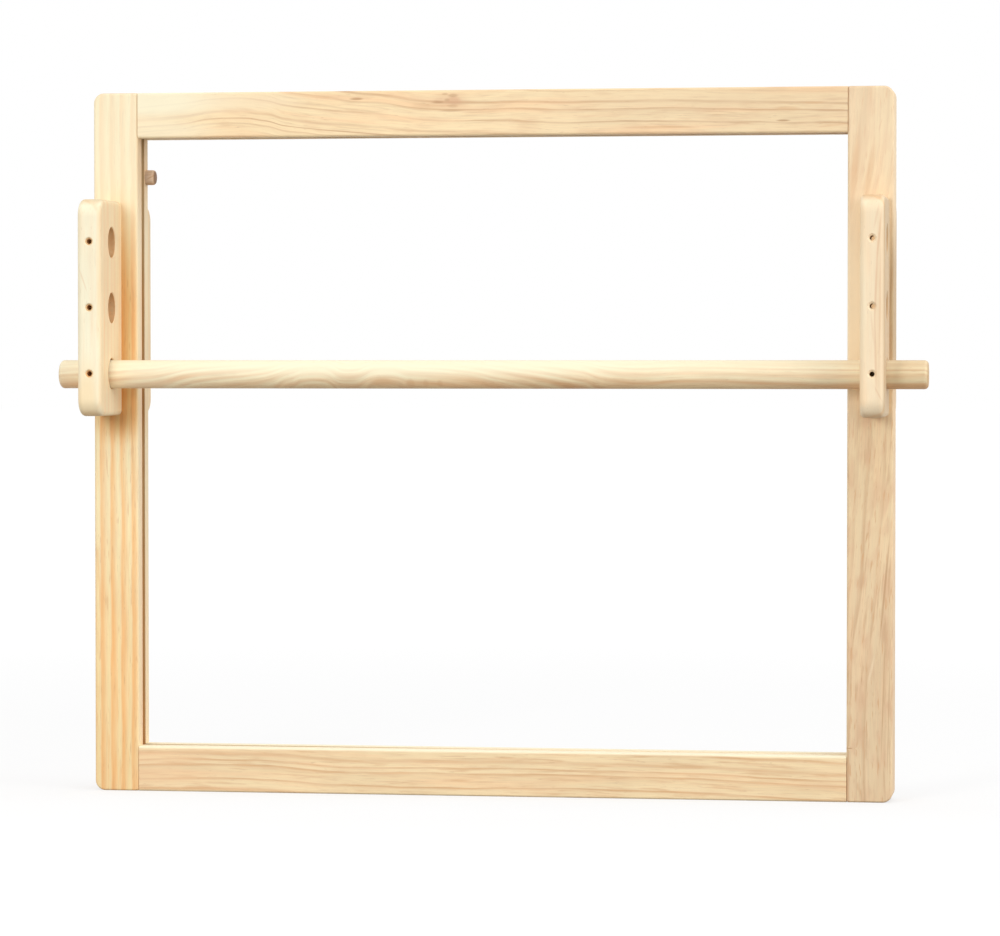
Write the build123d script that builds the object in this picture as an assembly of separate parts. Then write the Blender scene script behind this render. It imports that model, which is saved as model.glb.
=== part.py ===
"""Upright frame loom in pine: a grooved frame, four heddle-rod supports and a loose heddle rod.

Millimetres, +Z up, +X along the rod, -Y towards the weaver.
Origin: centre of the resting bottom face.
"""
from build123d import *
import os

# Frame stock
FRAME_WIDTH = 800.0
FRAME_HEIGHT = 700.0
STOCK_WIDTH = 45.0
STOCK_DEPTH = 45.0
CORNER_RADIUS = 10.0
EDGE_ROUND = 2.5
OUTER_ROUND = 2.0

# Groove round the inner edges, and the stub tenons that sit in it
GROOVE_WIDTH = 12.0
GROOVE_DEPTH = 12.0
TENON_CLEARANCE = 0.1
TENON_END_GAP = 0.5

# Heddle-rod supports, in front of and behind each stile
SUPPORT_THICKNESS = 24.0
SUPPORT_REACH = 84.0
SUPPORT_HEIGHT = 214.0
SUPPORT_CENTRE_Z = 484.5
SUPPORT_INSET = 4.0
SUPPORT_CORNER_RADIUS = 17.0
SUPPORT_EDGE_ROUND = 5.0

# Cross bores for the rod, and the pin holes that open into them
BORE_COUNT = 3
BORE_PITCH = 65.0
BORE_STANDOFF = 38.0
BORE_CLEARANCE = 1.0
BORE_RIM = 1.0
PIN_HOLE_DIAMETER = 5.0
PIN_HOLE_RIM = 2.0

# Heddle rod, resting in the lowest front bores
ROD_DIAMETER = 28.0
ROD_LENGTH = 860.0
ROD_OFFSET_X = 6.0
ROD_END_ROUND = 4.0
ROD_SEAT_GAP = 0.3

# Tie-off peg in the left stile
PEG_HEAD_DIAMETER = 15.0
PEG_HEAD_LENGTH = 10.0
PEG_HEAD_ROUND = 3.0
PEG_SHANK_DIAMETER = 10.0
PEG_SHANK_LENGTH = 24.0
PEG_FROM_TOP = 83.0

# Dowels
CORNER_DOWEL_DIAMETER = 8.0
CORNER_DOWEL_DEPTH = 30.0
SUPPORT_DOWEL_DIAMETER = 10.0
SUPPORT_DOWEL_DEPTH = 30.0
DOWEL_CHAMFER = 1.0
DOWEL_CLEARANCE = 0.05
DOWEL_END_GAP = 1.0

# Worked-out places
STILE_INNER_X = FRAME_WIDTH / 2 - STOCK_WIDTH
LIP_CENTRE_Y = (GROOVE_WIDTH + STOCK_DEPTH) / 4
SUPPORT_CENTRE_X = FRAME_WIDTH / 2 - SUPPORT_INSET - SUPPORT_THICKNESS / 2
BORE_RADIUS = ROD_DIAMETER / 2 + BORE_CLEARANCE
BORE_HEIGHTS = [BORE_PITCH * (i - (BORE_COUNT - 1) / 2) for i in range(BORE_COUNT)]
DOWEL_HEIGHTS = {
    "lower": (BORE_HEIGHTS[0] + BORE_HEIGHTS[1]) / 2,
    "upper": (BORE_HEIGHTS[-2] + BORE_HEIGHTS[-1]) / 2,
}
PEG_Z = FRAME_HEIGHT - PEG_FROM_TOP
SIDES = {"left": -1, "right": 1}
FACES = {"front": -1, "rear": 1}


def rod_along(axis, radius, start, end, across):
    """Cylinder from start to end along X or Y, at across = the other two coordinates in X, Y, Z order."""
    length = end - start
    middle = (start + end) / 2
    if axis == "X":
        return Pos(middle, *across) * Rot(0, 90, 0) * Cylinder(radius, length)
    return Pos(across[0], middle, across[1]) * Rot(90, 0, 0) * Cylinder(radius, length)


def frame_outline():
    """Prism of the frame's outline with its rounded corners, deeper than the stock."""
    outline = RectangleRounded(FRAME_WIDTH, FRAME_HEIGHT, CORNER_RADIUS)
    upright = Plane.XZ * Pos(0, FRAME_HEIGHT / 2) * outline
    return extrude(upright, STOCK_DEPTH, both=True)


def board_section(allowance=0.0):
    """Stile or rail section: outer edge at local X = -allowance, grooved inner edge towards +X."""
    blank_width = STOCK_WIDTH + allowance
    section = Pos(STOCK_WIDTH - blank_width / 2, 0) * Rectangle(blank_width, STOCK_DEPTH)
    section = fillet(section.vertices().group_by(Axis.X)[-1], EDGE_ROUND)
    groove = Pos(STOCK_WIDTH - GROOVE_DEPTH / 2, 0) * Rectangle(GROOVE_DEPTH, GROOVE_WIDTH)
    return section - groove


def rim_edges(post):
    """Edges of a stile's front and rear face that lie on the outline of the frame, not on the window."""
    broad_faces = post.faces().filter_by(Axis.Y).sort_by(Axis.Y)
    edges = []
    for face in (broad_faces[0], broad_faces[-1]):
        from_window = face.edges().sort_by(lambda edge: abs(edge.center().X))
        edges += from_window[1:]
    return edges


def corner_dowel_places():
    """Name, side and centre line of each corner dowel: one in each lip, at the middle of each rail."""
    rail_heights = {"bottom": STOCK_WIDTH / 2, "top": FRAME_HEIGHT - STOCK_WIDTH / 2}
    for rail, z in rail_heights.items():
        for side, sx in SIDES.items():
            for face, sy in FACES.items():
                yield f"corner_dowel_{rail}_{side}_{face}", sx, sy * LIP_CENTRE_Y, z


def across_joint(sx, depth, radius, y, z):
    """Cylinder along X that reaches depth to both sides of a stile's inner face."""
    joint_x = sx * STILE_INNER_X
    return rod_along("X", radius, joint_x - depth, joint_x + depth, (y, z))


def corner_dowel_holes():
    """Blind holes for all the corner dowels, across the joint between stile and rail."""
    radius = CORNER_DOWEL_DIAMETER / 2 + DOWEL_CLEARANCE
    depth = CORNER_DOWEL_DEPTH + DOWEL_END_GAP
    return [across_joint(sx, depth, radius, y, z) for _, sx, y, z in corner_dowel_places()]


def support_dowel_holes():
    """Holes for the long dowels, through each stile and blind in the supports."""
    radius = SUPPORT_DOWEL_DIAMETER / 2 + DOWEL_CLEARANCE
    reach = STOCK_DEPTH / 2 + SUPPORT_DOWEL_DEPTH + DOWEL_END_GAP
    holes = []
    for sx in SIDES.values():
        for height in DOWEL_HEIGHTS.values():
            place = (sx * SUPPORT_CENTRE_X, SUPPORT_CENTRE_Z + height)
            holes.append(rod_along("Y", radius, -reach, reach, place))
    return holes


def peg_hole():
    """Blind hole for the tie-off peg's shank in the left stile's rear lip."""
    start = -STILE_INNER_X - PEG_SHANK_LENGTH - DOWEL_END_GAP
    radius = PEG_SHANK_DIAMETER / 2 + DOWEL_CLEARANCE
    return rod_along("X", radius, start, -STILE_INNER_X, (LIP_CENTRE_Y, PEG_Z))


def stile(sx):
    """Full-height post, grooved on its inner edge, cut to the frame's outline and drilled for dowels."""
    base = Plane(origin=(sx * FRAME_WIDTH / 2, 0, -STOCK_WIDTH), x_dir=(-sx, 0, 0), z_dir=(0, 0, 1))
    blank = extrude(base * board_section(STOCK_WIDTH), FRAME_HEIGHT + 2 * STOCK_WIDTH)
    post = blank & frame_outline()
    post = fillet(rim_edges(post), OUTER_ROUND)
    post -= corner_dowel_holes() + support_dowel_holes()
    if sx == SIDES["left"]:
        post -= peg_hole()
    return post


def rail(outer_z, inward):
    """Bar between the stiles, grooved on its inner edge, with a stub tenon on each end."""
    base = Plane(origin=(-STILE_INNER_X, 0, outer_z), x_dir=(0, 0, inward), z_dir=(1, 0, 0))
    section = board_section()
    section = fillet(section.vertices().group_by(Axis.X)[0], OUTER_ROUND)
    bar = extrude(base * section, 2 * STILE_INNER_X)
    tenon_height = STOCK_WIDTH - GROOVE_DEPTH
    tenon_length = GROOVE_DEPTH - TENON_END_GAP
    tenon = Box(tenon_length, GROOVE_WIDTH - 2 * TENON_CLEARANCE, tenon_height)
    for sx in SIDES.values():
        tenon_x = sx * (STILE_INNER_X + tenon_length / 2)
        bar += Pos(tenon_x, 0, outer_z + inward * tenon_height / 2) * tenon
    return bar - corner_dowel_holes()


def bore_line(sy):
    """Y of the rod bores in the front or rear supports."""
    return sy * (STOCK_DEPTH / 2 + BORE_STANDOFF)


def support_blank():
    """Support block on its mounting face: Y from 0 to its reach, centred in X and Z, with rounded nose."""
    side = Plane.YZ * Pos(SUPPORT_REACH / 2, 0) * Rectangle(SUPPORT_REACH, SUPPORT_HEIGHT)
    side = fillet(side.vertices().group_by(Axis.Y)[-1], SUPPORT_CORNER_RADIUS)
    block = extrude(side, SUPPORT_THICKNESS / 2, both=True)
    cheek_edges = block.faces().filter_by(Axis.X).edges()
    free_edges = [edge for edge in cheek_edges if edge.center().Y > SUPPORT_EDGE_ROUND]
    return fillet(free_edges, SUPPORT_EDGE_ROUND)


def rod_bore(height):
    """Cutter for one cross bore with softened rims."""
    bore = Pos(0, BORE_STANDOFF, height) * Rot(0, 90, 0) * Cylinder(BORE_RADIUS, SUPPORT_THICKNESS)
    rim = Rot(0, 90, 0) * Cone(BORE_RADIUS, BORE_RADIUS + BORE_RIM, BORE_RIM)
    rim_x = (SUPPORT_THICKNESS - BORE_RIM) / 2
    right_rim = Pos(rim_x, BORE_STANDOFF, height) * rim
    left_rim = Pos(-rim_x, BORE_STANDOFF, height) * Rot(0, 0, 180) * rim
    return bore + left_rim + right_rim


def pin_hole(height):
    """Cutter for one pin hole, from the nose of the support into its cross bore."""
    radius = PIN_HOLE_DIAMETER / 2
    hole = rod_along("Y", radius, BORE_STANDOFF, SUPPORT_REACH, (0, height))
    rim = Rot(-90, 0, 0) * Cone(radius, radius + PIN_HOLE_RIM, PIN_HOLE_RIM)
    return hole + Pos(0, SUPPORT_REACH - PIN_HOLE_RIM / 2, height) * rim


def support(sx, sy):
    """Heddle-rod support on a stile's front or rear face."""
    block = support_blank()
    for height in BORE_HEIGHTS:
        block -= rod_bore(height)
        block -= pin_hole(height)
    if sy == FACES["front"]:
        block = Rot(0, 0, 180) * block
    block = Pos(sx * SUPPORT_CENTRE_X, sy * STOCK_DEPTH / 2, SUPPORT_CENTRE_Z) * block
    return block - support_dowel_holes()


def heddle_rod():
    """Loose round bar, lying on the bottom of the lowest front bores."""
    bar = Cylinder(ROD_DIAMETER / 2, ROD_LENGTH)
    bar = fillet(bar.edges().filter_by(GeomType.CIRCLE), ROD_END_ROUND)
    rod_z = SUPPORT_CENTRE_Z + BORE_HEIGHTS[0] - BORE_CLEARANCE + ROD_SEAT_GAP
    return Pos(ROD_OFFSET_X, bore_line(FACES["front"]), rod_z) * Rot(0, 90, 0) * bar


def tie_peg():
    """Turned peg: a slim shank in the left stile's rear lip, and a round head."""
    shank = Pos(0, 0, -PEG_SHANK_LENGTH / 2) * Cylinder(PEG_SHANK_DIAMETER / 2, PEG_SHANK_LENGTH)
    shank = chamfer(shank.edges().group_by(Axis.Z)[0], DOWEL_CHAMFER)
    head = Pos(0, 0, PEG_HEAD_LENGTH / 2) * Cylinder(PEG_HEAD_DIAMETER / 2, PEG_HEAD_LENGTH)
    head = fillet(head.edges().group_by(Axis.Z)[-1], PEG_HEAD_ROUND)
    return Pos(-STILE_INNER_X, LIP_CENTRE_Y, PEG_Z) * Rot(0, 90, 0) * (shank + head)


def dowel(diameter, length):
    """Dowel along Z, centred, with chamfered ends."""
    pin = Cylinder(diameter / 2, length)
    return chamfer(pin.edges().filter_by(GeomType.CIRCLE), DOWEL_CHAMFER)


def all_nodes():
    """Every piece of the loom by name."""
    nodes = {f"stile_{side}": stile(sx) for side, sx in SIDES.items()}
    nodes["bottom_rail"] = rail(0, 1)
    nodes["top_rail"] = rail(FRAME_HEIGHT, -1)
    for face, sy in FACES.items():
        for side, sx in SIDES.items():
            nodes[f"rod_support_{face}_{side}"] = support(sx, sy)
    nodes["heddle_rod"] = heddle_rod()
    nodes["tie_peg"] = tie_peg()
    for name, sx, y, z in corner_dowel_places():
        pin = Rot(0, 90, 0) * dowel(CORNER_DOWEL_DIAMETER, 2 * CORNER_DOWEL_DEPTH)
        nodes[name] = Pos(sx * STILE_INNER_X, y, z) * pin
    through_length = STOCK_DEPTH + 2 * SUPPORT_DOWEL_DEPTH
    for side, sx in SIDES.items():
        for level, height in DOWEL_HEIGHTS.items():
            pin = Rot(90, 0, 0) * dowel(SUPPORT_DOWEL_DIAMETER, through_length)
            place = Pos(sx * SUPPORT_CENTRE_X, 0, SUPPORT_CENTRE_Z + height)
            nodes[f"support_dowel_{side}_{level}"] = place * pin
    return nodes


os.makedirs("parts", exist_ok=True)
for node_name, piece in all_nodes().items():
    export_step(piece, f"parts/{node_name}.step")
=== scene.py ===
"""Looks of the frame loom: sawn pine with its own grain on every board, under soft studio light."""

from dataclasses import dataclass

import bpy
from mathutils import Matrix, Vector


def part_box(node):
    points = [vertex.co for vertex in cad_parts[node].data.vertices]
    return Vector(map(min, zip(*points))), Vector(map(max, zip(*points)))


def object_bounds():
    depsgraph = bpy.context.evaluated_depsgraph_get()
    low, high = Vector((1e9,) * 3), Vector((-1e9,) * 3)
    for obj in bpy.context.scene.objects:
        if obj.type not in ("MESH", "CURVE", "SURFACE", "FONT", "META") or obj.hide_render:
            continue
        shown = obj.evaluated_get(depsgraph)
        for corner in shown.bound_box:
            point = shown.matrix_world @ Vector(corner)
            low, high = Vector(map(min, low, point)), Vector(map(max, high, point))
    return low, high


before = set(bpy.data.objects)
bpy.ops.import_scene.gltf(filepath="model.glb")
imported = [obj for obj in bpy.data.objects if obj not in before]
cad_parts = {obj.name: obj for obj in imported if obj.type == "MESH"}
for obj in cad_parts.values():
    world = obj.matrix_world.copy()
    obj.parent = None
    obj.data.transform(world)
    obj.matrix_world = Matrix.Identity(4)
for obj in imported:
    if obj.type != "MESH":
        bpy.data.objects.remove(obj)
cad_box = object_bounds()

# Camera, in metres; the lens and its sensor in millimetres
CAMERA_PLACE = Vector((0.6175, -4.0, 0.435))
CAMERA_AIM = Vector((0.00865, 0.0, 0.32548))
CAMERA_LENS = 146.4
SENSOR_WIDTH = 36.0

# Studio: metres, watts and shares of full white
WHITE = (1.0, 1.0, 1.0, 1.0)
FLOOR_SIZE = 60.0
FLOOR_SHADE = 0.3
FLOOR_GLOW_NEAR = 0.66
FLOOR_GLOW_FAR = 0.72
FLOOR_NEAR = 0.8
FLOOR_FAR = 3.2
SKY_HORIZON = 0.62
SKY_ZENITH = 1.12
KEY_DIRECTION = Vector((-0.32, -1.0, 0.21))
KEY_DISTANCE = 2.4
KEY_SIZE = 0.6
KEY_WATTS = 16.2
FILL_DIRECTION = Vector((1.0, -0.40, 0.20))
FILL_DISTANCE = 5.0
FILL_SIZE = 3.0
FILL_WATTS = 108.0

# Colours of the timber, linear RGB
CREAM = (0.95, 0.83, 0.56)
SHELL = (0.95, 0.78, 0.54)
STRAW = (0.95, 0.75, 0.46)
WHEAT = (0.87, 0.67, 0.41)
AMBER = (0.96, 0.82, 0.50)
HONEY = (0.93, 0.54, 0.23)
TAN = (0.72, 0.42, 0.21)
BRONZE = (0.60, 0.36, 0.19)
PEACH = (0.95, 0.63, 0.36)
CLAY = (0.76, 0.49, 0.29)
MILK = (0.95, 0.88, 0.65)
UMBER = (0.50, 0.28, 0.14)
RESIN = (0.40, 0.18, 0.07)
KNOT = (0.68, 0.38, 0.22)
BEECH = (0.68, 0.51, 0.36)
BEECH_FLECK = (0.55, 0.36, 0.22)

# Shares of a surface's colour that are left where it is cut: end grain, with painted shade added on the
# peg's end and in the bores, and painted shade in the grooves
END_GRAIN = (0.84, 0.75, 0.66)
SHADED_END_GRAIN = (0.45, 0.40, 0.36)
GROOVE_SHADE = (0.72, 0.63, 0.51)
BORE_GRAIN_AND_SHADE = (0.84, 0.62, 0.44)
PALE_BORE_GRAIN_AND_SHADE = (0.86, 0.76, 0.62)

# Shares of the timber's colour that are left where it is darker: painted shadows of the supports,
# painted shade on undersides, side faces and the right-hand parts, and a darker foot on the left stile
# painted shadow of the left support on the left stile
GOLDEN_SHADOW = (0.84, 0.66, 0.46)
# a darker foot on the left stile, and painted shade on the left sides of the right blocks
RUDDY = (0.99, 0.89, 0.77)
# painted shade on the side faces of the left blocks
ROSY_SIDE_SHADE = (1.0, 0.86, 0.73)
# painted shade under the top rail and on the rod's underside
SHADE_BELOW = (0.88, 0.76, 0.66)
# painted shadow beside the right support, and painted shade on the right blocks' right sides
DEEP_SHADE = (0.68, 0.64, 0.58)
# painted shadow of the right support on the rod's right end
ROD_END_SHADOW = (0.86, 0.82, 0.77)
# painted shade where the light falls off towards the right
FALLOFF_SHADE = (0.94, 0.93, 0.95)

MM_PER_METRE = 1000.0
WHOLE_LENGTH = 5000.0  # mm, longer than any piece

# Places on the pieces, in mm
WINDOW_HALF_WIDTH = 355.0
WINDOW_BOTTOM = 45.0
WINDOW_TOP = 655.0
GROOVE_FROM = 0.4      # depths in the frame's inner edge, between which the groove's walls get painted shade
GROOVE_TO = 12.2
GROOVE_HALF_WIDTH = 6.1
GROOVE_SHADE_FADE = 300.0
BORE_STANDOFF = 38.0
BORE_PITCH = 65.0
BORE_WALL = 15.3
PIN_WALL = 3.7
SUPPORT_PITH_ASIDE = 70.0
SUPPORT_PITH_BEHIND = 90.0
LEFT_TONE_OUTSET = 0.5
LEFT_TONE_WIDTH = 2.0
RIGHT_TONE_OUTSET = 2.0
RIGHT_TONE_WIDTH = 5.0

# Noise stays mostly within a quarter of its range to both sides of its middle
NOISE_MIDDLE = 0.5
NOISE_GAIN = 4.0

# Seeds of the pieces, in the order of their names
FIRST_SEED = 10.0
SEED_STEP = 7.3

# Shares and multiples by which timber varies
END_GRAIN_FROM = 0.55  # of a face's turn towards the grain
END_GRAIN_FULL = 0.95
MARK_CORE = 0.3        # of a mark's size, in full strength
RIPPLE_REACH = 0.10    # of a year's growth
YEAR_FADE = 0.8        # of a timber's patchiness, between one year and the next
CLOUD_DEPTH = 0.1      # of the colour
KNOT_REACH = 3.0       # sizes of a knot, within which the grain bends
UNEVEN_SCALE = 0.7     # changes in growth for each year

# Planed surface: shares, and the depth of its texture in metres
LATE_HEIGHT = 0.6
FIBRE_HEIGHT = 0.8
TEXTURE_STRENGTH = 0.35
TEXTURE_DEPTH = 0.0002
SMOOTHEST = 0.5
ROUGHEST = 0.7
LATE_POLISH = 0.06
SPECULAR = 0.35


@dataclass
class Layer:
    """One kind of variation in timber, drawn as noise."""
    long: float          # size along the grain, in mm
    cross: float         # size across the grain, in mm
    seed: float
    detail: float = 2.0
    start: float = 0.0   # noise at which it begins to show
    full: float = 1.0    # noise at which it shows in full


WANDER = Layer(long=240.0, cross=120.0, seed=0.0)
RIPPLE = Layer(long=60.0, cross=16.0, seed=20.0)
PATCH = Layer(long=55.0, cross=6.0, seed=30.0, start=0.25, full=0.65)
BLUSH = Layer(long=150.0, cross=12.0, seed=40.0, start=0.45, full=0.75)
BLOTCH = Layer(long=36.0, cross=11.0, seed=45.0, start=0.4, full=0.75)
STREAK = Layer(long=40.0, cross=3.0, seed=50.0, detail=3.0, start=0.5, full=0.75)
CLOUD = Layer(long=110.0, cross=30.0, seed=60.0)
DASH = Layer(long=20.0, cross=1.8, seed=70.0, detail=1.0, start=0.6, full=0.76)
FIBRE = Layer(long=36.0, cross=0.9, seed=80.0, detail=3.0)
FLECK = Layer(long=9.0, cross=1.1, seed=100.0, detail=1.0, start=0.69, full=0.78)


@dataclass
class Mark:
    """A knot, streak, line or stain, or a patch of painted light or shade: its centre and half-sizes in
    mm along and across the grain.
    """
    along: float
    across: float
    length: float
    width: float
    strength: float = 0.6
    slope: float = 0.0   # way across the grain for each mm along it
    tint: tuple = RESIN
    bends: bool = True   # whether the grain runs round it
    blend: str = "MIX"


@dataclass
class Hole:
    """A round hole, with sizes in mm."""
    across: tuple        # the two grain coordinates that run across it
    centre: tuple        # its centre in those two
    radius: float
    wall: tuple = BORE_GRAIN_AND_SHADE  # share of the colour left on its wall: its end grain and painted shade


@dataclass
class Timber:
    """How one piece was cut from its log: places and sizes in mm, in the loom's own coordinates."""
    grain: str                      # axis that the grain runs along
    pith: tuple                     # middle of the log, across the grain and in depth
    ring: float                     # growth of one year
    pale: tuple = CREAM             # earlywood
    deep: tuple = HONEY             # latewood
    end: tuple = END_GRAIN          # share of the colour left on a face across the grain
    contrast: float = 0.8           # latewood against earlywood
    late_from: float = 0.45         # part of the year at which latewood starts
    late_peak: float = 0.88         # part of the year at which latewood is darkest
    uneven: float = 0.3             # differences between the years, in years
    patchy: float = 0.65            # how far rings fade here and there
    wander: float = 4.0             # drift of the pith along the piece
    blush: float = 0.45             # strength of each kind of tint, from here to the fibres
    blotches: float = 0.15
    streaks: float = 0.3
    dashes: float = 0.2
    flecks: float = 0.2
    fibres: float = 0.12
    figure: float = 1.0             # stretch of the tints along the grain
    path: tuple = ()                # places along the grain, and how far the rings run off there
    marks: tuple = ()
    groove: tuple = ()              # two ends of the groove's walls that get painted shade, across the grain
    groove_shade_end: float = WHOLE_LENGTH  # place along the grain at which the groove's painted shade has faded out
    holes: tuple = ()


class Graph:
    """Short calls that build one material's nodes."""
    MIX_INPUTS = (0, 6, 7)  # sockets of a colour mix: its share and its two colours
    MIX_OUTPUT = 2

    def __init__(self, tree):
        self.nodes = tree.nodes
        self.links = tree.links
        self.nodes.clear()

    def feed(self, socket, value):
        """Sets a socket to a plain value, or links it to another node's output."""
        if isinstance(value, bpy.types.NodeSocket):
            self.links.new(value, socket)
        else:
            socket.default_value = value

    def add(self, kind, *values, out=0, inputs=None, **settings):
        """A node with its settings and its inputs, in order or by name; gives one of its outputs."""
        node = self.nodes.new(f"ShaderNode{kind}")
        for name, setting in settings.items():
            setattr(node, name, setting)
        for socket, value in zip(node.inputs, values):
            self.feed(socket, value)
        for name, value in (inputs or {}).items():
            self.feed(node.inputs[name], value)
        return node.outputs[out] if node.outputs else node

    def math(self, operation, *values):
        """One step of arithmetic."""
        return self.add("Math", *values, operation=operation)

    def total(self, *values):
        """Sum of several values."""
        result = values[0]
        for value in values[1:]:
            result = self.math("ADD", result, value)
        return result

    def length(self, first, second):
        """Length of the hypotenuse over two sides."""
        squares = [self.math("MULTIPLY", side, side) for side in (first, second)]
        return self.math("SQRT", self.total(*squares))

    def ease(self, value, start, end):
        """0 before start, 1 after end, and a smooth step between."""
        return self.add("MapRange", value, start, end, interpolation_type="SMOOTHSTEP")

    def spread(self, share, low, high):
        """A share from 0 to 1 stretched to run from low to high."""
        return self.add("MapRange", share, 0.0, 1.0, low, high)

    def noise(self, axes, layer, seed, stretch=1.0):
        """Smooth noise from 0 to 1, in features of a layer's size."""
        sizes = (layer.long * stretch, layer.cross, layer.cross)
        counts = [self.math("DIVIDE", axis, size) for axis, size in zip(axes, sizes)]
        counts[0] = self.math("ADD", counts[0], seed + layer.seed)
        place = self.add("CombineXYZ", *counts)
        return self.add("TexNoise", inputs={"Vector": place, "Scale": 1.0, "Detail": layer.detail})

    def amount(self, axes, layer, seed, stretch=1.0):
        """0 where a layer doesn't show, and 1 where it shows in full."""
        return self.ease(self.noise(axes, layer, seed, stretch), layer.start, layer.full)

    def swing(self, noise, reach):
        """Noise moved to swing about 0, by about reach to both sides."""
        return self.math("MULTIPLY", self.math("SUBTRACT", noise, NOISE_MIDDLE), NOISE_GAIN * reach)

    def mix(self, share, first, second, how="MIX"):
        """Blend of two colours."""
        node = self.nodes.new("ShaderNodeMix")
        node.data_type = "RGBA"
        node.blend_type = how
        for index, value in zip(self.MIX_INPUTS, (share, first, second)):
            self.feed(node.inputs[index], (*value, 1.0) if isinstance(value, tuple) else value)
        return node.outputs[self.MIX_OUTPUT]

    def dim(self, share, colour, left):
        """A colour of which, where share is 1, only a part is left in each of its channels."""
        return self.mix(share, colour, self.mix(1.0, colour, left, "MULTIPLY"))

    def follow(self, along, path):
        """Offset in mm at a place along the grain, on a smooth line through given points."""
        places, offsets = zip(*path)
        low, rise = min(offsets), max(offsets) - min(offsets)
        reach = places[-1] - places[0]
        node = self.nodes.new("ShaderNodeFloatCurve")
        curve = node.mapping.curves[0]
        for _ in path[2:]:  # the curve starts with two points
            curve.points.new(1.0, 1.0)
        for point, place, offset in zip(curve.points, places, offsets):
            point.location = ((place - places[0]) / reach, (offset - low) / rise)
        node.mapping.update()
        self.feed(node.inputs["Value"], self.add("MapRange", along, places[0], places[-1]))
        return self.spread(node.outputs[0], low, low + rise)


def grain_axes(graph, grain):
    """The place in mm along the grain, across it and in depth, and the share of end grain."""
    coordinates = graph.nodes.new("ShaderNodeTexCoord").outputs
    scale = {"Scale": MM_PER_METRE}
    in_mm = graph.add("VectorMath", coordinates["Object"], operation="SCALE", inputs=scale)
    place = graph.add("SeparateXYZ", in_mm).node.outputs
    normal = graph.add("SeparateXYZ", coordinates["Normal"]).node.outputs
    order = {"X": "XZY", "Z": "ZXY"}[grain]
    facing_end = graph.math("ABSOLUTE", normal[grain])
    end_share = graph.ease(facing_end, END_GRAIN_FROM, END_GRAIN_FULL)
    return [place[axis] for axis in order], end_share


def mark_share(graph, mark, place, size=1.0):
    """1 in the middle of a mark, fading to 0 at its rim."""
    along = graph.math("SUBTRACT", place[0], mark.along)
    across = graph.math("SUBTRACT", place[1], mark.across)
    across = graph.math("SUBTRACT", across, graph.math("MULTIPLY", along, mark.slope))
    along = graph.math("DIVIDE", along, size * mark.length)
    across = graph.math("DIVIDE", across, size * mark.width)
    faded = graph.ease(graph.length(along, across), MARK_CORE, 1.0)
    return graph.math("SUBTRACT", 1.0, faded)


def bend(graph, timber, place):
    """The place along the grain, across it and in depth, bent along the grain's path and round knots."""
    along, across, depth = place
    if timber.path:
        across = graph.math("SUBTRACT", across, graph.follow(along, timber.path))
    for mark in timber.marks:
        if mark.bends:
            share = mark_share(graph, mark, place, KNOT_REACH)
            push = graph.math("MULTIPLY", share, mark.width * mark.strength)
            across = graph.math("ADD", across, push)
    return [along, across, depth]


def latewood(graph, timber, axes, seed):
    """Share of dark latewood, from the distance to a pith that wanders along the piece."""
    across = graph.math("SUBTRACT", axes[1], timber.pith[0])
    depth = graph.math("SUBTRACT", axes[2], timber.pith[1])
    drift = graph.swing(graph.noise(axes, WANDER, seed), timber.wander)
    ripple = graph.swing(graph.noise(axes, RIPPLE, seed), RIPPLE_REACH * timber.ring)
    across = graph.total(across, drift, ripple)
    years = graph.math("DIVIDE", graph.length(across, depth), timber.ring)
    growth = graph.add("CombineXYZ", years, seed)
    growth = graph.add("TexNoise", inputs={"Vector": growth, "Scale": UNEVEN_SCALE, "Detail": 0.0})
    years = graph.math("ADD", years, graph.swing(growth, timber.uneven))
    season = graph.math("FRACT", years)
    year = graph.math("ADD", graph.math("FLOOR", years), seed)
    strength = graph.add("TexWhiteNoise", inputs={"W": year}, noise_dimensions="1D")
    rise = graph.ease(season, timber.late_from, timber.late_peak)
    fall = graph.math("SUBTRACT", 1.0, graph.ease(season, timber.late_peak, 1.0))
    dark = graph.math("MULTIPLY", rise, fall)
    weakest = 1.0 - YEAR_FADE * timber.patchy
    dark = graph.math("MULTIPLY", dark, graph.spread(strength, weakest, 1.0))
    patch = graph.amount(axes, PATCH, seed, timber.figure)
    return graph.math("MULTIPLY", dark, graph.spread(patch, 1.0 - timber.patchy, 1.0))


def tint_figure(graph, timber, axes, seed, colour):
    """Soft blushes and blotches, streaks, dashes and flecks of resin over the rings."""
    tints = (
        (BLUSH, timber.blush, PEACH, 1.0),
        (BLOTCH, timber.blotches, CLAY, timber.figure),
        (STREAK, timber.streaks, timber.deep, timber.figure),
        (DASH, timber.dashes, TAN, timber.figure),
        (FLECK, timber.flecks, RESIN, 1.0),
    )
    for layer, strength, tint, stretch in tints:
        share = graph.amount(axes, layer, seed, stretch)
        colour = graph.mix(graph.math("MULTIPLY", share, strength), colour, tint)
    cloud = graph.spread(graph.noise(axes, CLOUD, seed), 1.0 - CLOUD_DEPTH, 1.0 + CLOUD_DEPTH)
    return graph.mix(1.0, colour, cloud, "MULTIPLY")


def groove_share(graph, timber, place):
    """1 on the walls of a piece's groove, where shade is painted, less where it fades out, and 0
    elsewhere.
    """
    low, high = timber.groove
    off_middle = graph.math("ABSOLUTE", graph.math("SUBTRACT", place[1], (low + high) / 2))
    inside = graph.math("LESS_THAN", off_middle, (high - low) / 2)
    between = graph.math("LESS_THAN", graph.math("ABSOLUTE", place[2]), GROOVE_HALF_WIDTH)
    paled = graph.ease(place[0], timber.groove_shade_end - GROOVE_SHADE_FADE, timber.groove_shade_end)
    dark = graph.math("SUBTRACT", 1.0, paled)
    return graph.math("MULTIPLY", graph.math("MULTIPLY", inside, between), dark)


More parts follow.
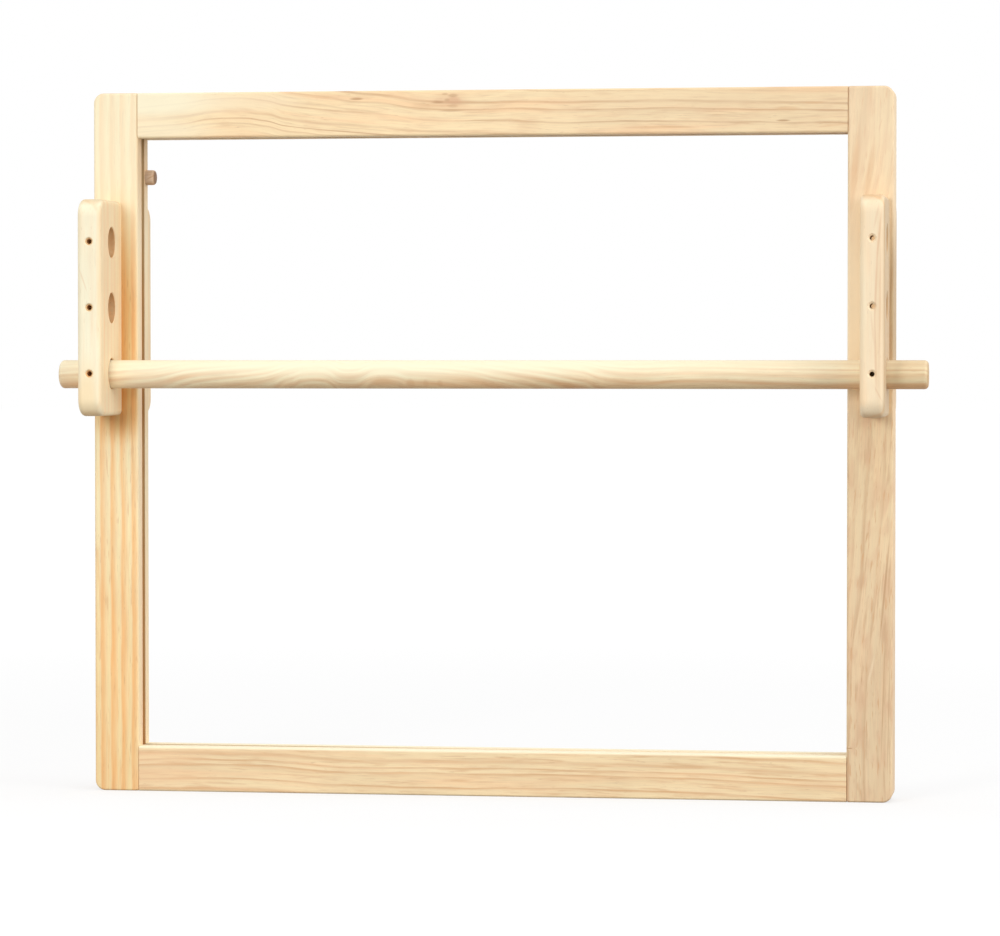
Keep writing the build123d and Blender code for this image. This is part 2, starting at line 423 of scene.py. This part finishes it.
def hole_share(graph, hole, place):
    """1 on the wall of a hole, and 0 elsewhere."""
    middles = zip(hole.across, hole.centre)
    sides = [graph.math("SUBTRACT", place[axis], middle) for axis, middle in middles]
    return graph.math("LESS_THAN", graph.length(*sides), hole.radius)


def pine(name, timber, seed):
    """Planed, unfinished timber: growth rings, tints, fibres, marks with painted light and shade, cut
    walls with painted shade, and end grain.
    """
    material = bpy.data.materials.new(name)
    material.use_nodes = True
    graph = Graph(material.node_tree)
    place, end_share = grain_axes(graph, timber.grain)
    axes = bend(graph, timber, place)
    late = latewood(graph, timber, axes, seed)
    fibre = graph.noise(axes, FIBRE, seed)

    colour = graph.mix(graph.math("MULTIPLY", late, timber.contrast), timber.pale, timber.deep)
    colour = tint_figure(graph, timber, axes, seed, colour)
    threads = graph.spread(fibre, 1.0 - timber.fibres, 1.0 + timber.fibres)
    colour = graph.mix(1.0, colour, threads, "MULTIPLY")
    for mark in timber.marks:
        share = graph.math("MULTIPLY", mark_share(graph, mark, place), mark.strength)
        colour = graph.mix(share, colour, mark.tint, mark.blend)
    # Hole walls get end grain and painted shade, and groove walls painted shade
    for hole in timber.holes:
        colour = graph.dim(hole_share(graph, hole, place), colour, hole.wall)
    if timber.groove:
        colour = graph.dim(groove_share(graph, timber, place), colour, GROOVE_SHADE)
    colour = graph.dim(end_share, colour, timber.end)

    ridges = graph.math("MULTIPLY", late, LATE_HEIGHT)
    height = graph.total(ridges, graph.math("MULTIPLY", fibre, FIBRE_HEIGHT))
    texture = {"Strength": TEXTURE_STRENGTH, "Distance": TEXTURE_DEPTH, "Height": height}
    polish = graph.math("MULTIPLY", late, LATE_POLISH)
    shader = graph.add("BsdfPrincipled", inputs={
        "Base Color": colour,
        "Roughness": graph.math("SUBTRACT", graph.spread(fibre, SMOOTHEST, ROUGHEST), polish),
        "Normal": graph.add("Bump", inputs=texture),
        "Specular IOR Level": SPECULAR,
    })
    graph.add("OutputMaterial", shader)
    return material


def stain(along, across, length, width, strength, tint, slope=0.0):
    """A tint that lies over the grain without bending it."""
    return Mark(along, across, length, width, strength, slope, tint, bends=False)


def tone_and_shade(along, across, length, width, left):
    """A darker stretch in which the grain shows as before, mostly painted shade; left is the share left
    of each colour.
    """
    return Mark(along, across, length, width, 1.0, tint=left, bends=False, blend="MULTIPLY")


LEFT_STILE = Timber(
    grain="Z", pith=(-151.0, 60.0), ring=9.9, pale=AMBER, deep=HONEY, contrast=1.0, late_from=0.1,
    late_peak=0.8, wander=0.8, uneven=0.02, patchy=0.25, blush=0.15, streaks=0.4, dashes=0.45,
    groove=(-WINDOW_HALF_WIDTH - GROOVE_TO, -WINDOW_HALF_WIDTH - GROOVE_FROM),
    marks=(
        # Pale top and a darker, ruddy foot; the golden middle is painted shadow of the left support,
        # beside and below it
        stain(along=660.0, across=-375.0, length=200.0, width=60.0, strength=0.6, tint=MILK),
        tone_and_shade(along=20.0, across=-375.0, length=330.0, width=80.0, left=RUDDY),
        tone_and_shade(along=480.0, across=-373.0, length=150.0, width=22.0, left=GOLDEN_SHADOW),
        tone_and_shade(along=385.0, across=-375.0, length=45.0, width=40.0, left=GOLDEN_SHADOW),
        # Inner edge lightened with painted light, with painted shade at its top under the top rail
        stain(along=350.0, across=-353.0, length=WHOLE_LENGTH, width=4.0, strength=0.7, tint=SHELL),
        tone_and_shade(along=650.0, across=-353.0, length=120.0, width=5.0, left=SHADE_BELOW),
    ),
)
RIGHT_STILE = Timber(
    grain="Z", pith=(290.0, 110.0), ring=7.0, pale=WHEAT, deep=BRONZE, contrast=0.65, late_from=0.5,
    wander=6.0, uneven=0.4, blotches=0.65, streaks=0.45, dashes=0.7, figure=0.85,
    groove=(WINDOW_HALF_WIDTH + GROOVE_FROM, WINDOW_HALF_WIDTH + GROOVE_TO),
    path=(
        (0.0, 0.0), (100.0, -1.0), (180.0, 3.0), (330.0, 14.0), (450.0, 20.0), (540.0, 25.0),
        (640.0, 40.0), (700.0, 44.0),
    ),
    marks=(
        # Pale top, painted light on the inner edge beside the right support, and two slanting bands
        stain(along=640.0, across=377.0, length=240.0, width=60.0, strength=0.45, tint=SHELL),
        stain(along=480.0, across=358.0, length=150.0, width=18.0, strength=1.0, tint=SHELL),
        stain(along=618.0, across=362.0, length=50.0, width=5.0, strength=0.4, tint=TAN, slope=0.1),
        stain(along=612.0, across=376.0, length=45.0, width=5.0, strength=0.35, tint=TAN, slope=0.16),
        # Painted shadow of the right support on the outer edge, and painted shade darkening the foot
        # where the light falls off
        tone_and_shade(along=485.0, across=399.0, length=110.0, width=8.0, left=DEEP_SHADE),
        tone_and_shade(along=40.0, across=377.0, length=300.0, width=80.0, left=FALLOFF_SHADE),
        # Fine lines, a pale scratch, a patch and a nick
        stain(along=110.0, across=391.0, length=95.0, width=1.0, strength=0.4, tint=UMBER, slope=0.03),
        stain(along=80.0, across=396.0, length=80.0, width=1.0, strength=0.35, tint=UMBER, slope=0.02),
        stain(along=130.0, across=379.0, length=18.0, width=1.8, strength=0.4, tint=SHELL, slope=0.22),
        stain(along=290.0, across=390.0, length=22.0, width=5.0, strength=0.35, tint=CLAY, slope=0.1),
        Mark(along=208.0, across=392.0, length=66.0, width=1.5, strength=0.6, slope=0.09, tint=UMBER),
        Mark(along=53.0, across=358.0, length=0.8, width=4.0, strength=0.6),
    ),
)
TOP_RAIL = Timber(
    grain="X", pith=(520.0, 60.0), ring=8.5, pale=STRAW, deep=BRONZE, contrast=0.9, late_from=0.62,
    wander=2.0, uneven=0.6, patchy=0.6, blush=0.7, blotches=0.3, streaks=0.35,
    groove=(WINDOW_TOP + GROOVE_FROM, WINDOW_TOP + GROOVE_TO),
    path=(
        (-355.0, 0.0), (-306.0, 3.3), (-262.0, 7.2), (-228.0, 4.8), (-205.0, -1.0), (-155.0, -7.5),
        (-100.0, -12.5), (-65.0, -15.0), (10.0, -17.0), (90.0, -20.0), (180.0, -20.5),
        (270.0, -23.0), (355.0, -23.5),
    ),
    marks=(
        # Pale left end
        stain(along=-345.0, across=691.0, length=110.0, width=24.0, strength=0.85, tint=MILK),
        stain(along=-245.0, across=691.0, length=80.0, width=14.0, strength=0.45, tint=SHELL),
        stain(along=-345.0, across=663.0, length=90.0, width=16.0, strength=0.5, tint=MILK),
        # Plainer right half, darkened with painted shade where the light falls off, with streaks low
        # down
        stain(along=220.0, across=690.0, length=180.0, width=13.0, strength=0.45, tint=STRAW),
        tone_and_shade(along=330.0, across=677.0, length=420.0, width=60.0, left=FALLOFF_SHADE),
        stain(along=172.0, across=661.5, length=45.0, width=2.2, strength=0.4, tint=TAN),
        stain(along=340.0, across=662.0, length=22.0, width=1.8, strength=0.35, tint=TAN, slope=0.1),
        # Two spots of resin, and streaks above the right one
        Mark(along=-132.0, across=692.0, length=9.0, width=1.8, strength=0.6),
        Mark(along=292.0, across=667.0, length=9.0, width=1.4, strength=0.6),
        stain(along=296.0, across=679.0, length=18.0, width=2.5, strength=0.4, tint=TAN),
        stain(along=322.0, across=684.0, length=14.0, width=2.0, strength=0.3, tint=TAN),
        # Knot: its halo and core, the spots in it, and dark streaks beside and below it
        Mark(along=-37.0, across=689.0, length=26.0, width=11.0, strength=0.3, tint=KNOT),
        stain(along=-34.0, across=689.5, length=10.0, width=5.5, strength=0.5, tint=KNOT),
        stain(along=-35.0, across=694.5, length=7.0, width=2.6, strength=0.45, tint=UMBER),
        stain(along=-41.0, across=690.0, length=4.0, width=2.0, strength=0.4, tint=UMBER),
        stain(along=-43.0, across=696.0, length=4.5, width=1.6, strength=0.4, tint=UMBER),
        stain(along=-35.0, across=684.0, length=7.0, width=2.5, strength=0.3, tint=UMBER),
        stain(along=-50.0, across=688.0, length=8.0, width=1.7, strength=0.6, tint=UMBER),
        stain(along=-37.0, across=679.5, length=17.0, width=1.4, strength=0.5, tint=UMBER),
    ),
)
BOTTOM_RAIL = Timber(
    grain="X", pith=(-130.0, 60.0), ring=8.0, pale=STRAW, deep=TAN, contrast=1.0, late_from=0.35,
    late_peak=0.8, wander=2.5, uneven=0.5, patchy=0.55, blush=0.6, streaks=0.55,
    groove=(WINDOW_BOTTOM - GROOVE_TO, WINDOW_BOTTOM - GROOVE_FROM), groove_shade_end=80.0,
    path=((-355.0, 0.0), (-260.0, -0.5), (-150.0, -5.0), (100.0, -6.0), (355.0, -12.0)),
    marks=(
        # Painted highlight on the top face, and a warm left end
        stain(along=0.0, across=46.0, length=WHOLE_LENGTH, width=4.0, strength=0.9, tint=MILK),
        stain(along=-340.0, across=15.0, length=90.0, width=12.0, strength=0.5, tint=PEACH),
        stain(along=-340.0, across=33.0, length=90.0, width=9.0, strength=0.45, tint=PEACH),
    ),
)
HEDDLE_ROD = Timber(
    grain="X", pith=(487.0, -40.0), ring=6.0, pale=CREAM, deep=TAN, contrast=0.75, late_from=0.05,
    late_peak=0.6, wander=1.5, patchy=0.5,
    path=(
        (-424.0, -10.0), (-335.0, -4.0), (-285.0, 6.0), (-221.0, 12.0), (-186.0, 22.0),
        (-164.0, 26.0), (-142.0, 18.0), (-132.0, 16.0), (-112.0, 21.0), (-97.0, 24.0),
        (-70.0, 19.0), (-38.0, 17.0), (22.0, 7.0), (101.0, -6.0), (151.0, -15.0), (210.0, -13.0),
        (290.0, -15.0), (436.0, -16.0),
    ),
    marks=(
        # Painted highlight on the top, painted shadow of the right support on the right end, and painted
        # shade on the underside
        stain(along=-120.0, across=436.0, length=800.0, width=25.0, strength=0.9, tint=MILK),
        tone_and_shade(along=432.0, across=418.0, length=60.0, width=60.0, left=ROD_END_SHADOW),
        tone_and_shade(along=100.0, across=402.0, length=600.0, width=16.0, left=SHADE_BELOW),
        # Warm left end
        stain(along=-418.0, across=410.0, length=30.0, width=10.0, strength=0.4, tint=PEACH),
        stain(along=-340.0, across=407.0, length=70.0, width=14.0, strength=0.35, tint=SHELL),
        # Row of dark spots on the lower half
        stain(along=-97.0, across=411.0, length=17.0, width=7.0, strength=0.5, tint=TAN),
        stain(along=-69.0, across=410.0, length=6.0, width=6.0, strength=0.45, tint=TAN),
        stain(along=-54.0, across=410.0, length=4.0, width=5.0, strength=0.35, tint=TAN),
        stain(along=-40.0, across=410.0, length=4.0, width=5.0, strength=0.35, tint=TAN),
    ),
)
TIE_PEG = Timber(
    # Its end face gets dark end grain with painted shade
    grain="X", pith=(640.0, 30.0), ring=4.0, pale=BEECH, deep=BEECH_FLECK, end=SHADED_END_GRAIN,
    contrast=0.5, wander=1.0,
    marks=(
        # Slanting stripe, with painted shade on the underside and the rim
        stain(along=-348.0, across=617.5, length=7.0, width=1.3, strength=0.6, tint=UMBER, slope=0.5),
        stain(along=-350.0, across=609.5, length=20.0, width=3.0, strength=0.6, tint=UMBER),
        stain(along=-345.0, across=617.0, length=2.5, width=20.0, strength=0.6, tint=UMBER),
    ),
)
DOWEL = Timber(
    grain="X", pith=(0.0, 60.0), ring=4.0, pale=BEECH, deep=BEECH_FLECK, contrast=0.5, wander=1.0,
)
SUPPORT_MARKS = {
    "rod_support_front_left": (
        # Slanting line, and a darker foot
        stain(along=512.0, across=-390.0, length=16.0, width=1.2, strength=0.35, tint=CLAY, slope=-0.35),
        stain(along=385.0, across=-386.0, length=65.0, width=16.0, strength=0.85, tint=STRAW),
    ),
    "rod_support_front_right": (
        # Painted highlight on the left edge and painted shade on the right half
        stain(along=485.0, across=374.0, length=120.0, width=7.0, strength=0.4, tint=MILK),
        stain(along=470.0, across=392.0, length=130.0, width=7.0, strength=0.2, tint=TAN),
        # Upright lines right of the pin holes
        stain(along=552.0, across=390.7, length=32.0, width=1.6, strength=0.55, tint=CLAY, slope=0.09),
        stain(along=500.0, across=387.6, length=50.0, width=1.5, strength=0.55, tint=CLAY, slope=0.04),
        stain(along=440.0, across=387.4, length=48.0, width=1.5, strength=0.5, tint=CLAY, slope=-0.02),
        stain(along=480.0, across=391.5, length=80.0, width=1.2, strength=0.45, tint=CLAY, slope=0.01),
        # Short slanting lines
        stain(along=463.0, across=384.5, length=22.0, width=1.6, strength=0.3, tint=CLAY, slope=-0.1),
        stain(along=401.0, across=390.0, length=10.0, width=1.2, strength=0.4, tint=CLAY, slope=-0.5),
        stain(along=570.0, across=388.0, length=16.0, width=1.6, strength=0.3, tint=CLAY, slope=0.2),
    ),
}


def support_holes(low, high, is_left, is_front):
    """Cross bores of a support block, and the pin holes of the left ones, which are as dark inside:
    their walls get end grain and painted shade.
    """
    middle = (low + high) / 2
    bore_y = high.y - BORE_STANDOFF if is_front else low.y + BORE_STANDOFF
    wall = BORE_GRAIN_AND_SHADE if is_left else PALE_BORE_GRAIN_AND_SHADE
    holes = []
    for height in (middle.z - BORE_PITCH, middle.z, middle.z + BORE_PITCH):
        holes.append(Hole(across=(0, 2), centre=(height, bore_y), radius=BORE_WALL, wall=wall))
        if is_left:
            holes.append(Hole(across=(0, 1), centre=(height, middle.x), radius=PIN_WALL))
    return tuple(holes)


def support_timber(node):
    """Timber of one support block, cut with upright grain from a log beside it, with painted shade on
    its side faces.
    """
    low, high = (corner * MM_PER_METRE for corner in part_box(node))
    middle = (low + high) / 2
    is_left = "left" in node
    # Painted shade on the block's left and right side faces
    left_side_shade = tone_and_shade(
        along=middle.z, across=low.x - LEFT_TONE_OUTSET, length=WHOLE_LENGTH, width=LEFT_TONE_WIDTH,
        left=ROSY_SIDE_SHADE if is_left else RUDDY,
    )
    right_side_shade = tone_and_shade(
        along=middle.z, across=high.x + RIGHT_TONE_OUTSET, length=WHOLE_LENGTH, width=RIGHT_TONE_WIDTH,
        left=ROSY_SIDE_SHADE if is_left else DEEP_SHADE,
    )
    return Timber(
        grain="Z", pith=(middle.x + SUPPORT_PITH_ASIDE, middle.y + SUPPORT_PITH_BEHIND), ring=12.0,
        # The left blocks' paler earlywood and fainter rings are painted light
        pale=MILK if is_left else SHELL, deep=HONEY, contrast=0.35 if is_left else 0.5, late_from=0.5,
        wander=5.0, blush=0.25, blotches=0.1, streaks=0.1, dashes=0.08, fibres=0.05,
        marks=(left_side_shade, right_side_shade, *SUPPORT_MARKS.get(node, ())),
        holes=support_holes(low, high, is_left, "front" in node),
    )


def node_timber(node):
    """The timber that a named piece is made of."""
    named = {
        "stile_left": LEFT_STILE,
        "stile_right": RIGHT_STILE,
        "top_rail": TOP_RAIL,
        "bottom_rail": BOTTOM_RAIL,
        "heddle_rod": HEDDLE_ROD,
        "tie_peg": TIE_PEG,
    }
    if node in named:
        return named[node]
    return support_timber(node) if node.startswith("rod_support") else DOWEL


def dress_nodes():
    """Gives every piece its own cut of timber."""
    for number, (node, piece) in enumerate(sorted(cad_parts.items())):
        material = pine(f"timber_{node}", node_timber(node), FIRST_SEED + SEED_STEP * number)
        for slot in piece.material_slots:
            slot.material = material


def background_rays(graph):
    """1 for the rays that show the background, and 0 for those that light the object."""
    path = graph.nodes.new("ShaderNodeLightPath").outputs
    seen = graph.math("MAXIMUM", path["Is Camera Ray"], path["Is Glossy Ray"])
    return graph.math("MAXIMUM", seen, path["Is Transmission Ray"])


def lay_floor():
    """Pale floor under the loom, white to the eye, which keeps the loom's soft shadow."""
    bpy.ops.mesh.primitive_plane_add(size=FLOOR_SIZE)
    floor = bpy.context.object
    floor.name = "floor"
    material = bpy.data.materials.new("floor_white")
    material.use_nodes = True
    graph = Graph(material.node_tree)
    place = graph.nodes.new("ShaderNodeTexCoord").outputs["Object"]
    away = graph.add("VectorMath", place, out=1, operation="LENGTH")
    glow = graph.spread(graph.ease(away, FLOOR_NEAR, FLOOR_FAR), FLOOR_GLOW_NEAR, FLOOR_GLOW_FAR)
    glow = graph.math("MULTIPLY", background_rays(graph), glow)
    shade = graph.add("BsdfDiffuse", (FLOOR_SHADE,) * 3 + (1.0,))
    light = graph.add("Emission", WHITE, glow)
    graph.add("OutputMaterial", graph.add("AddShader", shade, light))
    floor.data.materials.append(material)


def light_room():
    """White surroundings, brighter overhead, with a soft lamp at front left and a broad one at right."""
    world = bpy.data.worlds.new("room")
    world.use_nodes = True
    bpy.context.scene.world = world
    graph = Graph(world.node_tree)
    direction = graph.nodes.new("ShaderNodeTexCoord").outputs["Generated"]
    height = graph.add("SeparateXYZ", direction, out=2)
    sky = graph.spread(graph.ease(height, 0.0, 1.0), SKY_HORIZON, SKY_ZENITH)
    strength = graph.spread(background_rays(graph), sky, 1.0)
    room = graph.add("Background", WHITE, strength)
    graph.add("OutputWorld", room)
    hang_lamp("key", KEY_DIRECTION, KEY_DISTANCE, KEY_SIZE, KEY_WATTS)
    hang_lamp("fill", FILL_DIRECTION, FILL_DISTANCE, FILL_SIZE, FILL_WATTS)


def hang_lamp(name, direction, distance, size, watts):
    """A square soft lamp that shines at the middle of the loom."""
    light = bpy.data.lights.new(name, "AREA")
    light.size = size
    light.energy = watts
    lamp = bpy.data.objects.new(name, light)
    centre = (cad_box[0] + cad_box[1]) / 2
    lamp.location = centre + distance * direction.normalized()
    lamp.rotation_euler = (centre - lamp.location).to_track_quat("-Z", "Y").to_euler()
    bpy.context.scene.collection.objects.link(lamp)


def set_camera():
    """The photograph's view."""
    camera = bpy.data.objects.new("camera", bpy.data.cameras.new("camera"))
    camera.data.lens = CAMERA_LENS
    camera.data.sensor_width = SENSOR_WIDTH
    camera.location = CAMERA_PLACE
    camera.rotation_euler = (CAMERA_AIM - CAMERA_PLACE).to_track_quat("-Z", "Y").to_euler()
    bpy.context.scene.collection.objects.link(camera)
    bpy.context.scene.camera = camera


bpy.context.scene.view_settings.view_transform = "Standard"
dress_nodes()
lay_floor()
light_room()
set_camera()
